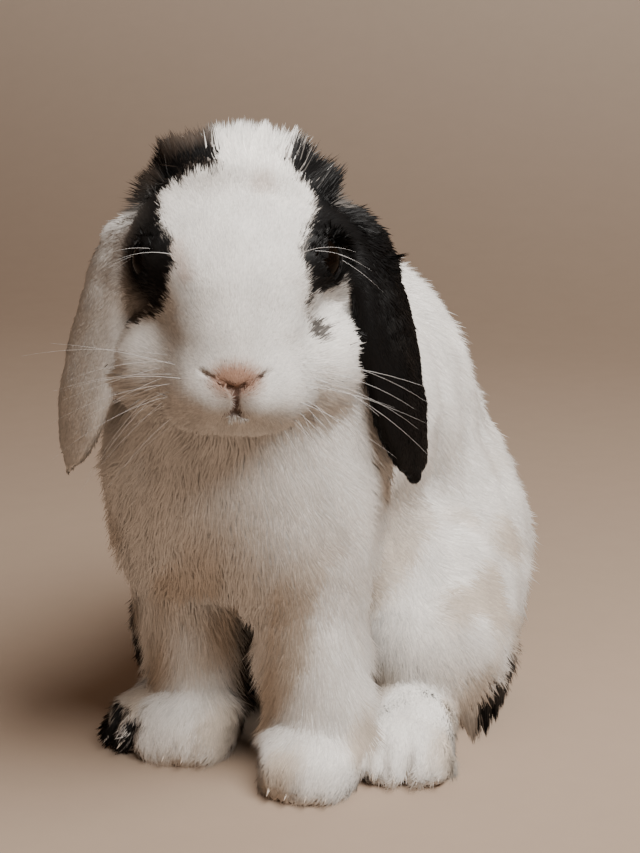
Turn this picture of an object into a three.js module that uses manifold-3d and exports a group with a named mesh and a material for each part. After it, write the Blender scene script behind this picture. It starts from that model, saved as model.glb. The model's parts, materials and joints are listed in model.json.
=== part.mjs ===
// A lop-eared rabbit that sits up on straight forelegs, as a still, life-size model in named pieces.
// Millimetres, +Z up. The rabbit faces -Y and its left side is +X. The exported group is moved so that its
// origin is under the middle of its box, on the surface that it sits on.
//
// Every piece of flesh is a sphere whose vertices run out along straight rays to a smooth surface, which is
// a blend of ellipsoids and tapered limbs. Thin cuts part neighbouring pieces.
import * as THREE from "three";
import { mergeVertices } from "three/addons/utils/BufferGeometryUtils.js";
import Module from "manifold-3d";

const wasm = await Module();
wasm.setup();

// ---------------------------------------- driving dimensions, in millimetres
const CUT = 0.4; // width of the cuts that part one piece from the next
const OVERRUN = 14; // how far a piece is made past the plane that trims it
const LEFT = 1;
const RIGHT = -1;
const SIDES = { left: LEFT, right: RIGHT };

const HEAD_CENTRE = new THREE.Vector3(4.5, 10, 177); // middle of the skull
const HEAD_TURN = 17; // degrees, towards the rabbit's left
const HEAD_NOD = 26; // degrees, nose down
const EYE_RADIUS = 8.3;
const EYE_PLACE = [26, -3, 15]; // in the head's own frame

const EAR_WIDTH = 38; // across the flat of the ear
const EAR_THICKNESS = 12; // at the root
const EAR_CUP = 6; // how far the middle of the ear stands out past its edges
const EAR_SPREAD = { [LEFT]: 1.02, [RIGHT]: 1 }; // the left ear hangs a little further out
const EAR_REACH = { [LEFT]: 1, [RIGHT]: 0.95 }; // and is a little longer

const CHEST_WIDTH = 106;
const COLLAR = { point: [3, 34, 147], towardsHips: [0, 0.536, -0.844], towardsHead: [0, -0.536, 0.844] };
const HIP_SWAY = 11; // the hips stand this far to the left of the chest
const HAUNCH_WIDTH = 151; // across both thighs

const FOREPAW = { [LEFT]: [32, 6], [RIGHT]: [-20, 25] }; // middle of each forepaw on the floor
const SHOULDER = { [LEFT]: [22, 28], [RIGHT]: [-25, 38] }; // where each foreleg leaves the chest
const WRIST_HEIGHT = 25;
const HINDFOOT = { [LEFT]: [65.5, 8], [RIGHT]: [-38, 8] }; // middle of each row of hind toes on the floor
const SPLAY = 12; // degrees that each hind foot turns outwards
const FORE_TOES = [-10.5, -3.6, 3.6, 10.5]; // across the paw
const HIND_TOES = [-11.5, -4, 4, 11.5];
const CLAW_LENGTH = 9;
const CLAW_RADIUS = 1.5;
const CLAW_SLOPE = 25; // degrees down from level

// ---------------------------------------- fields: negative inside, 0 on the surface
const V = (x, y, z) => new THREE.Vector3(x, y, z);
const turned = (pitch, yaw = 0, roll = 0) =>
  new THREE.Quaternion().setFromEuler(
    new THREE.Euler(...[pitch, roll, yaw].map(THREE.MathUtils.degToRad), "ZXY"),
  );

function ellipsoid(centre, [rx, ry, rz], { pitch = 0, yaw = 0, roll = 0 } = {}) {
  const back = turned(pitch, yaw, roll).invert();
  const q = V(0, 0, 0);
  return (p) => {
    q.copy(p).sub(centre).applyQuaternion(back);
    const near = Math.hypot(q.x / rx, q.y / ry, q.z / rz);
    const slope = Math.hypot(q.x / rx ** 2, q.y / ry ** 2, q.z / rz ** 2);
    return slope > 0 ? (near * (near - 1)) / slope : -Math.min(rx, ry, rz);
  };
}

function limb(from, to, fromRadius, toRadius) {
  const along = V(0, 0, 0).subVectors(to, from);
  const q = V(0, 0, 0);
  return (p) => {
    q.subVectors(p, from);
    const share = THREE.MathUtils.clamp(q.dot(along) / along.lengthSq(), 0, 1);
    return q.addScaledVector(along, -share).length() - THREE.MathUtils.lerp(fromRadius, toRadius, share);
  };
}

// A smooth union: surfaces nearer to each other than softness melt together.
const blend = (softness, ...fields) => (p) =>
  fields
    .map((field) => field(p))
    .reduce((a, b) => {
      const h = Math.max(softness - Math.abs(a - b), 0) / softness;
      return Math.min(a, b) - (h * h * softness) / 4;
    });

function placed(matrix, field) {
  const back = matrix.clone().invert();
  const q = V(0, 0, 0);
  return (p) => field(q.copy(p).applyMatrix4(back));
}
const grown = (field, by) => (p) => field(p) - by;
const within = (...fields) => (p) => Math.max(...fields.map((field) => field(p)));
const both = (make) => [make(LEFT), make(RIGHT)];

// ---------------------------------------- the animal's shape
const headTilt = turned(HEAD_NOD, HEAD_TURN);
const headPose = new THREE.Matrix4().compose(HEAD_CENTRE, headTilt, V(1, 1, 1));
const gazeTurn = turned(0, HEAD_TURN); // the head's turn without its nod, for ears that hang straight down
const gazePose = new THREE.Matrix4().compose(HEAD_CENTRE, gazeTurn, V(1, 1, 1));

const headField = placed(
  headPose,
  blend(
    9,
    ellipsoid(V(0, 14, 8), [31, 30, 26]), // cranium
    ellipsoid(V(0, -2, 13), [27, 26, 20]), // forehead
    ellipsoid(V(0, -20, 2), [22, 24, 18], { pitch: 34 }), // bridge of the nose
    ellipsoid(V(0, -37, -11), [17, 14, 13]), // muzzle
    ellipsoid(V(0, -29, -22), [15, 14, 9]), // chin
    ellipsoid(V(0, 6, -15), [32, 30, 20]), // jaw and throat
    ...both((side) => ellipsoid(V(side * 11, -33, -15), [14, 14, 12])), // whisker pad
    ...both((side) => ellipsoid(V(side * 23, -11, -19), [20.5, 23, 20])), // cheek
    ...both((side) => ellipsoid(V(side * 17, 1, 11), [14, 18, 15])), // brow and rim of the eye
    ...both((side) => ellipsoid(V(side * 21, 20, 19), [13, 14, 13])), // root of the ear
    ellipsoid(V(0, 25, 29), [29, 15, 17]), // crest of long fur between the ears
  ),
);

const trunkField = blend(
  22,
  ellipsoid(V(-2, 34, 112), [CHEST_WIDTH / 2, 42, 54]), // chest and its ruff
  ellipsoid(V(2, 70, 132), [46, 48, 50], { pitch: -20 }), // shoulders
  ellipsoid(V(9, 114, 109), [55.5, 62, 66], { pitch: -20 }), // loin
  ellipsoid(V(HIP_SWAY, 146, 62), [64, 60, 64]), // rump
  ellipsoid(V(HIP_SWAY, 106, 50), [50, 58, 46]), // belly
  ...Object.values(SIDES).map((side) => {
    const [x, y] = SHOULDER[side];
    return ellipsoid(V(x, y + 4, 80), [24, 26, 28]); // upper arm, deep in the ruff
  }),
);
const neckField = ellipsoid(V(2, 34, 150), [48, 38, 34]);
const thighField = (side) =>
  blend(
    14,
    ellipsoid(V(HIP_SWAY + side * (HAUNCH_WIDTH / 2 - 36), 122, 45), [36, 54, 47], { pitch: 12 }), // haunch
    ellipsoid(V(HIP_SWAY + side * (HAUNCH_WIDTH / 2 - 33), 86, 34), [32, 38, 35]), // knee
    ellipsoid(V(HIP_SWAY + side * (HAUNCH_WIDTH / 2 - 25), 94, 20), [24, 36, 28]), // hock
  );
const bodyField = blend(16, trunkField, neckField);

function forelegField(side) {
  const [x, y] = FOREPAW[side];
  const [sx, sy] = SHOULDER[side];
  return blend(
    6,
    limb(V(sx, sy, 76), V(x, y + 13, 22), 21.5, 15), // forearm
    ellipsoid(V(x, y + 4, 12), [17, 20, 13.5]), // paw
    ...FORE_TOES.map((across) => ellipsoid(V(x + across, y - 9 + Math.abs(across) / 4, 8), [5, 11, 9])),
  );
}

// A place on a hind foot, by its distance behind the toe tips, across the foot and above the floor.
function onFoot(side, behind, across, height) {
  const [x, y] = HINDFOOT[side];
  return V(across, behind, height).applyQuaternion(turned(0, side * SPLAY)).add(V(x, y, 0));
}

function hindfootField(side) {
  const lie = { yaw: side * SPLAY };
  return blend(
    6,
    limb(onFoot(side, 108, 0, 14), onFoot(side, 52, 0, 13), 15, 16), // heel and hock
    ellipsoid(onFoot(side, 38, 0, 12), [18.5, 32, 13.5], lie), // instep
    ...HIND_TOES.map((across) =>
      ellipsoid(onFoot(side, 14 + Math.abs(across) / 3, across, 9), [5.5, 15, 10.5], lie),
    ),
  );
}

const tailField = blend(
  8,
  ellipsoid(V(HIP_SWAY, 194, 24), [17, 16, 18]),
  ellipsoid(V(HIP_SWAY, 203, 33), [13, 11, 16]),
);

// ---------------------------------------- solids
function solidOf(geometry) {
  const bare = new THREE.BufferGeometry();
  bare.setAttribute("position", geometry.getAttribute("position"));
  bare.setIndex(geometry.getIndex());
  const merged = mergeVertices(bare, 1e-3);
  return new wasm.Manifold(
    new wasm.Mesh({
      numProp: 3,
      vertProperties: merged.attributes.position.array,
      triVerts: new Uint32Array(merged.index.array),
    }),
  );
}

// Where the poles of a sphere go.
const towards = (x, y, z) => new THREE.Quaternion().setFromUnitVectors(V(0, 1, 0), V(x, y, z));
const LENGTHWISE = towards(0, 1, 0);
const SIDEWAYS = towards(1, 0, 0);
const UPRIGHT = towards(0, 0, 1);

// A sphere whose vertices run out from its centre, along straight rays, to where the field ends.
function wrapped(field, centre, { around, along, poles = UPRIGHT, stretch = [1, 1, 1] }) {
  const MOST_STEPS = 120;
  const NEAR_ENOUGH = 0.02;
  const CAUTION = 0.8; // a blended field can overstate the distance that is left
  const geometry = new THREE.SphereGeometry(1, around, along);
  const position = geometry.getAttribute("position");
  const ray = V(0, 0, 0);
  const p = V(0, 0, 0);
  for (let i = 0; i < position.count; i++) {
    ray.fromBufferAttribute(position, i);
    ray.applyQuaternion(poles).multiply(V(...stretch)).normalize();
    let reach = 0;
    for (let step = 0; step < MOST_STEPS; step++) {
      const left = -field(p.copy(centre).addScaledVector(ray, reach));
      reach += left * CAUTION;
      if (Math.abs(left) < NEAR_ENOUGH) break;
    }
    position.setXYZ(i, ...p.copy(centre).addScaledVector(ray, reach));
  }
  return solidOf(geometry);
}

// Keeps what lies on the side of a plane that its normal points to.
const trimmed = (solid, [nx, ny, nz], [x, y, z], shift = 0) =>
  solid.trimByPlane([nx, ny, nz], nx * x + ny * y + nz * z + shift);
const less = (solid, ...cutters) => cutters.reduce((left, cutter) => left.subtract(cutter), solid);
const UP = [0, 0, 1];
const DOWN = [0, 0, -1];
const onFloor = (solid) => trimmed(solid, UP, [0, 0, 0]);

function trimmedField(field, normal, point) {
  const n = V(...normal);
  const level = n.dot(V(...point)) - OVERRUN;
  return within(field, (p) => level - n.dot(p));
}

function makeEye(side, extra = 0) {
  const [x, y, z] = EYE_PLACE;
  const centre = V(side * x, y, z).applyMatrix4(headPose);
  const ball = new THREE.SphereGeometry(EYE_RADIUS + extra, 12, 8);
  ball.rotateZ(Math.PI / 2).translate(...centre);
  return solidOf(ball);
}

// A lop ear rises from the crown, folds over and hangs. Its section is a shallow gutter, open to the cheek.
function makeEar(side, extra = 0) {
  const spread = side * EAR_SPREAD[side];
  const reach = EAR_REACH[side];
  const midline = new THREE.CatmullRomCurve3(
    [
      V(spread * 19, 13, reach * 18), // root, inside the head
      V(spread * 30, 15, reach * 20.5), // the fold over the crown
      V(spread * 38, 15, reach * 17),
      V(spread * 43, 14, reach * 9),
      V(spread * 46, 13, reach * -1),
      V(spread * 48.5, 12, reach * -14),
      V(spread * 51, 11, reach * -29),
      V(spread * 54.2, 9, reach * -46),
      V(spread * 59.6, 6, reach * -68), // tip
    ].map((p) => p.applyMatrix4(gazePose)),
  );
  const across = V(side * 18, 36, 0).applyQuaternion(gazeTurn);
  const geometry = new THREE.SphereGeometry(1, 12, 14);
  const position = geometry.getAttribute("position");
  const q = V(0, 0, 0);
  for (let i = 0; i < position.count; i++) {
    q.fromBufferAttribute(position, i);
    const share = (1 - q.y) / 2;
    const ring = Math.hypot(q.x, q.z) || 1;
    const [u, w] = [q.x / ring, q.z / ring];
    const fullness = Math.max(Math.sin(Math.PI * share ** 1.4), 0) ** 0.6;
    const tangent = midline.getTangentAt(share);
    const wide = across.clone().addScaledVector(tangent, -across.dot(tangent)).normalize();
    const outward = V(0, 0, 0).crossVectors(tangent, wide).normalize().multiplyScalar(side);
    const thick = (EAR_THICKNESS / 2) * (1 - 0.5 * share) * fullness + extra;
    const place = midline.getPointAt(share);
    place.addScaledVector(tangent, -q.y * extra);
    place.addScaledVector(wide, side * u * ((EAR_WIDTH / 2) * fullness + extra));
    place.addScaledVector(outward, w * thick + EAR_CUP * (1 - u * u) * fullness);
    position.setXYZ(i, ...place);
  }
  return solidOf(geometry);
}

// A claw starts inside the toe and comes out of its tip, pointing forward and a little down.
function makeClaws(toes, tip, yaw, extra = 0) {
  return toes.map((across) => {
    const claw = new THREE.ConeGeometry(CLAW_RADIUS + extra, CLAW_LENGTH + 2 * extra, 7);
    claw.rotateX(THREE.MathUtils.degToRad(180 + CLAW_SLOPE)).rotateZ(THREE.MathUtils.degToRad(yaw));
    claw.translate(...tip(across));
    return solidOf(claw);
  });
}

const group = new THREE.Group();
const WHITE_FUR = { color: 0xe6e0d6, roughness: 0.9, metalness: 0 };
const BLACK_FUR = { color: 0x1d1b1a, roughness: 0.85, metalness: 0 };
const EYE = { color: 0x140d0a, roughness: 0.05, metalness: 0 };
const HORN = { color: 0x8d7a68, roughness: 0.45, metalness: 0 };

function add(name, solid, look) {
  const made = solid.getMesh();
  const geometry = new THREE.BufferGeometry();
  geometry.setAttribute("position", new THREE.BufferAttribute(made.vertProperties, 3));
  geometry.setIndex(new THREE.BufferAttribute(made.triVerts, 1));
  geometry.computeVertexNormals();
  const mesh = new THREE.Mesh(geometry, new THREE.MeshStandardMaterial(look));
  mesh.name = name;
  group.add(mesh);
}

// ---------------------------------------- assembly: a piece is cut by what sits in it
const makeHead = (extra) =>
  wrapped(grown(headField, extra), HEAD_CENTRE, { around: 26, along: 18, poles: headTilt });
const makeTail = (extra) =>
  wrapped(grown(tailField, extra), V(HIP_SWAY, 196, 26), { around: 10, along: 7 });

// The part of the body on one side of the collar.
function bodyPiece(kept, centre, fineness) {
  const whole = wrapped(trimmedField(bodyField, kept, COLLAR.point), centre, fineness);
  return less(trimmed(whole, kept, COLLAR.point, CUT / 2), makeHead(CUT));
}

let head = makeHead(0);
let neck = bodyPiece(COLLAR.towardsHead, V(2, 34, 156), { around: 20, along: 10 });
let trunk = onFloor(bodyPiece(COLLAR.towardsHips, V(6, 92, 82), { around: 30, along: 19 }));
trunk = less(trunk, makeTail(CUT));
add("tail", makeTail(0), BLACK_FUR);

for (const [name, side] of Object.entries(SIDES)) {
  // eye and ear
  add(`eye_${name}`, makeEye(side), EYE);
  add(`ear_${name}`, makeEar(side), side === LEFT ? BLACK_FUR : WHITE_FUR);
  const earSocket = makeEar(side, 2 * CUT);
  head = less(head, makeEye(side, CUT), earSocket);
  neck = less(neck, earSocket);
  trunk = less(trunk, earSocket);

  // foreleg
  const [x, y] = FOREPAW[side];
  const legField = forelegField(side);
  const wrist = [x, y, WRIST_HEIGHT];
  const legMiddle = V((x + SHOULDER[side][0]) / 2, (y + 14 + SHOULDER[side][1]) / 2, 50);
  const makeLeg = (extra) =>
    wrapped(trimmedField(grown(legField, extra), UP, wrist), legMiddle, { around: 12, along: 10 });
  const makePaw = (extra) =>
    wrapped(trimmedField(grown(legField, extra), DOWN, wrist), V(x, y + 2, 12), {
      around: 16,
      along: 10,
      poles: LENGTHWISE,
    });
  const foreClaws = (extra) =>
    makeClaws(FORE_TOES, (across) => V(x + across, y - 20 + Math.abs(across) / 4, 5.5), 0, extra);
  const forelegSockets = [makeLeg(CUT), makePaw(CUT)];
  const paw = onFloor(trimmed(makePaw(0), DOWN, wrist, CUT / 2));
  add(`foreleg_${name}`, trimmed(makeLeg(0), UP, wrist, CUT / 2), WHITE_FUR);
  add(`forepaw_${name}`, less(paw, ...foreClaws(CUT)), WHITE_FUR);
  foreClaws(0).forEach((claw, i) => add(`claw_fore_${name}_${i + 1}`, claw, HORN));

  // hind leg
  const makeFoot = (extra) =>
    wrapped(grown(hindfootField(side), extra), onFoot(side, 56, 0, 15), {
      around: 12,
      along: 12,
      poles: turned(0, side * SPLAY),
      stretch: [1, 1.6, 1],
    });
  const hindClaws = (extra) =>
    makeClaws(
      HIND_TOES.filter((across) => side === LEFT || across < 0), // the right forepaw hides the other two
      (across) => onFoot(side, Math.abs(across) / 3, across, 6.5),
      side * SPLAY,
      extra,
    );
  const foot = onFloor(makeFoot(0));
  add(`hindfoot_${name}`, less(foot, ...hindClaws(CUT), ...forelegSockets), WHITE_FUR);
  hindClaws(0).forEach((claw, i) => add(`claw_hind_${name}_${i + 1}`, claw, HORN));
  const thighMiddle = V(HIP_SWAY + side * (HAUNCH_WIDTH / 2 - 36), 108, 44);
  const makeThigh = (extra) =>
    wrapped(grown(thighField(side), extra), thighMiddle, { around: 16, along: 11, poles: SIDEWAYS });
  const footSocket = makeFoot(CUT);
  add(`thigh_${name}`, less(onFloor(makeThigh(0)), footSocket, ...forelegSockets), WHITE_FUR);
  trunk = less(trunk, makeThigh(CUT), footSocket, ...forelegSockets);
}
add("head", head, WHITE_FUR);
add("neck", neck, WHITE_FUR);
add("trunk", trunk, WHITE_FUR);

const box = new THREE.Box3().setFromObject(group);
const middle = box.getCenter(V(0, 0, 0));
group.position.set(-middle.x, -middle.y, -box.min.z);
export default group;
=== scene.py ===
"""A small lop-eared rabbit sitting up on straight forelegs: skin, coat, eyes, claws and whiskers.

The skin is the zero surface of a field, which is built from forms like those of the solids, drawn in by the
depth of the coat. The coat is solid tufts that grow from the skin and carry the same markings.
"""

import json
import math

import bmesh
import bpy
import numpy as np
from bpy.props import FloatProperty, FloatVectorProperty, IntProperty, PointerProperty
from mathutils import Matrix, Vector

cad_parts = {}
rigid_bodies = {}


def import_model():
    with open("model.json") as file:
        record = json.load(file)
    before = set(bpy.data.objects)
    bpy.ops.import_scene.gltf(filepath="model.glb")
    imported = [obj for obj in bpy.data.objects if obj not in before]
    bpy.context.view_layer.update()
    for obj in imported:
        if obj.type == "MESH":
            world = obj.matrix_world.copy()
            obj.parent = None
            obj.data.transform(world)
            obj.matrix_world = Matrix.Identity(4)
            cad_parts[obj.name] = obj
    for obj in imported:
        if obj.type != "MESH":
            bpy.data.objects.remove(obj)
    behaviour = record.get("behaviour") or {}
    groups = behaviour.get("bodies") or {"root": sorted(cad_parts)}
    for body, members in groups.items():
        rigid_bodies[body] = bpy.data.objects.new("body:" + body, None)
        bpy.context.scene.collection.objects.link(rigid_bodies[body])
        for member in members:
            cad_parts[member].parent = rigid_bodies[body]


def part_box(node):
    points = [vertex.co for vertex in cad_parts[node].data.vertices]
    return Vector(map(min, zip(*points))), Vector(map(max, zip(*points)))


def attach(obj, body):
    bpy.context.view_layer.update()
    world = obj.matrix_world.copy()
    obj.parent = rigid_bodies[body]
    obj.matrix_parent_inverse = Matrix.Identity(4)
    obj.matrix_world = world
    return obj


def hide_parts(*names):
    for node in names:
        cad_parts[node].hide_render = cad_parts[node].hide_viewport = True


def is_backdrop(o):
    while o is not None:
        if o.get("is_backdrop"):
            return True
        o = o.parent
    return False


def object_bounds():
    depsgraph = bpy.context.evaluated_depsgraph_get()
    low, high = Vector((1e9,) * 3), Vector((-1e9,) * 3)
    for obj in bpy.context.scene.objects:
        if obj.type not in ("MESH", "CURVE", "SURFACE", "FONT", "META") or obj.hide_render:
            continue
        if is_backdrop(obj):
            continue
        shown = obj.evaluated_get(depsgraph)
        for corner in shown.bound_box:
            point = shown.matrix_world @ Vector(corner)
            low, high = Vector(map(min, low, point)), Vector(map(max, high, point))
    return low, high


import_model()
CAD_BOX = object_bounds()

bl_info = {
    "name": "Lop rabbit",
    "version": (1, 0, 0),
    "blender": (4, 5, 0),
    "location": "View3D > Sidebar > Rabbit",
    "description": "Skin, coat, eyes, claws and whiskers of a small lop-eared rabbit on a plain stage",
    "category": "Add Mesh",
}

# ---------------------------------------- sizes of the body in millimetres and degrees, as in the solids
LEFT, RIGHT = 1, -1
SIDES = {"left": LEFT, "right": RIGHT}
HEAD_CENTRE = np.array([4.5, 10.0, 177.0])
HEAD_TURN, HEAD_NOD = 17, 26
EYE_RADIUS = 8.3
EYE_PLACE = np.array([26.0, -3.0, 15.0])
EAR_WIDTH, EAR_CUP = 38.0, 6.0
EAR_SPREAD = {LEFT: 1.02, RIGHT: 1.0}
EAR_REACH = {LEFT: 1.0, RIGHT: 0.95}
EAR_TUCK = {LEFT: 0.0, RIGHT: 2.5}  # how much further in than its solid an ear hangs
CHEST_WIDTH = 106
HIP_SWAY = 11
HAUNCH_WIDTH = 151
FOREPAW = {LEFT: (32, 6), RIGHT: (-20, 25)}
SHOULDER = {LEFT: (22, 28), RIGHT: (-25, 38)}
HINDFOOT = {LEFT: (65.5, 8), RIGHT: (-38, 8)}
SPLAY = 12
FORE_TOES = (-10.5, -3.6, 3.6, 10.5)
HIND_TOES = (-11.5, -4, 4, 11.5)


# ---------------------------------------- fields: points in, signed distances out, negative inside
def turn(pitch=0, yaw=0, roll=0):
    p, y, r = (math.radians(a) for a in (pitch, yaw, roll))
    about_x = np.array([[1, 0, 0], [0, math.cos(p), -math.sin(p)], [0, math.sin(p), math.cos(p)]])
    about_z = np.array([[math.cos(y), -math.sin(y), 0], [math.sin(y), math.cos(y), 0], [0, 0, 1]])
    about_y = np.array([[math.cos(r), 0, math.sin(r)], [0, 1, 0], [-math.sin(r), 0, math.cos(r)]])
    return about_z @ about_x @ about_y


HEAD_TILT = turn(HEAD_NOD, HEAD_TURN)
GAZE = turn(0, HEAD_TURN)


def ellipsoid(centre, radii, pitch=0, yaw=0, roll=0):
    c, r, m = np.array(centre, float), np.array(radii, float), turn(pitch, yaw, roll)

    def field(p):
        q = (p - c) @ m
        near = np.sqrt(((q / r) ** 2).sum(1))
        slope = np.sqrt(((q / r**2) ** 2).sum(1))
        return near * (near - 1) / np.maximum(slope, 1e-9)

    return field


def limb(a, b, radius_a, radius_b):
    a, b = np.array(a, float), np.array(b, float)
    along = b - a

    def field(p):
        q = p - a
        share = np.clip(q @ along / (along @ along), 0, 1)
        radius = radius_a + (radius_b - radius_a) * share
        return np.linalg.norm(q - share[:, None] * along, axis=1) - radius

    return field


def melt(a, b, softness):
    h = np.maximum(softness - np.abs(a - b), 0) / softness
    return np.minimum(a, b) - h * h * softness / 4


def blend(softness, *fields):
    def field(p):
        total = fields[0](p)
        for f in fields[1:]:
            total = melt(total, f(p), softness)
        return total

    return field


def ramp(value, low, high):
    """0 below low, 1 above high, smooth between; low may be the larger."""
    t = np.clip((value - low) / (high - low), 0, 1)
    return t * t * (3 - 2 * t)


def mixed(a, b, share):
    """a where share is 0, b where it is 1."""
    return a * (1 - share) + b * share


def bounded(field, centre, radius, margin=14.0):
    """The field near a ball round its form, and further off the way to that ball, to save work."""
    centre = np.array(centre, float)

    def quick(p):
        away = np.linalg.norm(p - centre, axis=1) - radius
        near = away < margin
        away[near] = field(p[near])
        return away

    return quick


def in_head(p):
    return (p - HEAD_CENTRE) @ HEAD_TILT


def both(make):
    return [make(LEFT), make(RIGHT)]


def pair(centre, radii):
    """An ellipsoid on each side of the head."""
    return both(lambda s: ellipsoid((s * centre[0], *centre[1:]), radii))


def unit(v):
    return v / np.maximum(np.linalg.norm(v, axis=-1, keepdims=True), 1e-9)


# ---------------------------------------- the forms of the animal
EYE_AXIS = {s: unit(np.array([s * 0.93, -0.34, 0.10])) for s in (LEFT, RIGHT)}
EYE_GAP = 0.12
LID_OPENING = (5.4, 4.1)
LID_THICKNESS = 1.1


def eye_centre(side):
    return EYE_PLACE * (side, 1, 1)


def rim_distance(q, side, ahead=5.8):
    """How far points in the head are from the middle of the lids' opening."""
    return np.linalg.norm(q - eye_centre(side) - ahead * EYE_AXIS[side], axis=1)


def crown_share(q):
    """1 on the crown behind the domed forehead, where the crest grows; q is in the head."""
    x, y, z = q.T
    return ramp(y, 15, 24) * ramp(y, 52, 42) * ramp(z, 8, 19)


def with_lids(d, rel, axis):
    """The head's field with lids wrapped over the eyeball; rel are points seen from the ball's middle."""
    away = np.linalg.norm(rel, axis=1)
    along = rel @ axis
    level = unit(np.cross(axis, (0, 0, 1.0)))
    across, up = rel @ level, rel @ np.cross(level, axis)
    opening = np.hypot(across / LID_OPENING[0], up / LID_OPENING[1]) - 1
    opening = np.maximum(opening * LID_OPENING[1], 2 - along)
    lidded = melt(d, away - EYE_RADIUS - LID_THICKNESS, 4.5)
    hollow = np.minimum(away - EYE_RADIUS - EYE_GAP, opening)
    return -melt(-lidded, hollow, 0.9)


def make_head_forms():
    forms = blend(
        9,
        ellipsoid((0, 14, 8), (31, 30, 26)),  # cranium
        ellipsoid((0, -2, 13), (27, 26, 20)),  # forehead
        ellipsoid((0, -20, 2), (22, 24, 18), pitch=34),  # bridge of the nose
        ellipsoid((0, -37, -11), (17, 14, 13)),  # muzzle
        ellipsoid((0, -29, -17.5), (14, 14, 8)),  # chin
        ellipsoid((0, 6, -15), (32, 30, 20)),  # jaw and throat
        *pair((11, -33, -15), (14, 14, 12)),  # whisker pads
        *pair((23, -11, -19), (20.5, 23, 20)),  # cheeks
        *pair((17, 1, 11), (14, 18, 15)),  # brows and rims of the eyes
        *pair((21, 20, 19), (13, 14, 13)),  # roots of the ears
        *pair((30, 9, 1), (10, 13, 18)),  # between the eyes and the hanging ears
        *pair((36, 7, -9), (7, 9, 10)),  # below and outside these
        ellipsoid((0, 25, 29), (29, 15, 17)),  # crest of long fur between the ears
    )
    nose_fold = both(lambda s: limb((s * 10.5, -42.5, -1.5), (0, -48.0, -4.6), 0.3, 0.9))
    philtrum = limb((0, -48.6, -4.6), (0, -50.2, -11), 0.9, 0.7)
    lips = both(lambda s: limb((0, -49.8, -11.6), (s * 5, -46.5, -15.5), 0.8, 0.5))
    creases = blend(1.5, *nose_fold, philtrum, *lips)
    pads = blend(3, *pair((6.6, -41.5, -11.5), (8.2, 8.5, 7.6)))

    def field(p):
        q = in_head(p)
        x, y, z = q.T
        crown = crown_share(q)
        dome = ramp(z, 18, 32) * (1 - crown)
        cheek = ramp(np.abs(x), 15, 27) * ramp(z, 6, -8)
        throat = ramp(y, -22, 0) * ramp(z, -10, -24)
        muzzle = ramp(y, -28, -38)
        depth = 1.6 + 2.2 * dome + 6.5 * crown + 2.6 * cheek + 3 * throat - 0.5 * muzzle
        d = forms(q) + depth
        front = y < -25
        if front.any():
            near = q[front]
            muzzle_d = melt(d[front], pads(near), 3)
            d[front] = -melt(-muzzle_d, creases(near) - 0.1, 1.2)
        for s in (LEFT, RIGHT):
            rel = q - eye_centre(s)
            close = (rel**2).sum(1) < 400
            if close.any():
                d[close] = with_lids(d[close], rel[close], EYE_AXIS[s])
        return d

    return field


# the middle of an ear from root to tip: out, back and up from the head's middle, and its share of the tuck
EAR_STATIONS = (
    (19, 13, 18, 0),
    (30, 15, 20.5, 0),
    (38, 15, 17, 0.2),
    (43, 14, 9, 0.7),
    (46, 13, -1, 1),
    (48.5, 12, -14, 1),
    (51, 11, -29, 0.7),
    (54.2, 9, -46, 0.2),
    (59.6, 6, -68, 0),
)


def ear_midline(side):
    *stations, tucked = np.array(EAR_STATIONS).T
    stations = np.stack(stations, 1) * (side * EAR_SPREAD[side], 1, EAR_REACH[side])
    stations[:, 0] -= side * EAR_TUCK[side] * tucked
    return smooth_path(stations, 48) @ GAZE.T + HEAD_CENTRE


def smooth_path(stations, count):
    """count points evenly along a smooth curve through the stations."""
    s = np.concatenate([[2 * stations[0] - stations[1]], stations, [2 * stations[-1] - stations[-2]]])
    t = np.linspace(0, 1, 24, endpoint=False)[:, None]
    made = []
    for a, b, c, d in zip(s, s[1:], s[2:], s[3:]):
        square, cube = 2 * a - 5 * b + 4 * c - d, 3 * b - a - 3 * c + d
        made.append(0.5 * (2 * b + (c - a) * t + square * t**2 + cube * t**3))
    dense = np.concatenate([*made, s[-2][None]])
    run = np.concatenate([[0], np.cumsum(np.linalg.norm(np.diff(dense, axis=0), axis=1))])
    at = np.linspace(0, run[-1], count)
    return np.stack([np.interp(at, run, dense[:, i]) for i in range(3)], 1)


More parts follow.
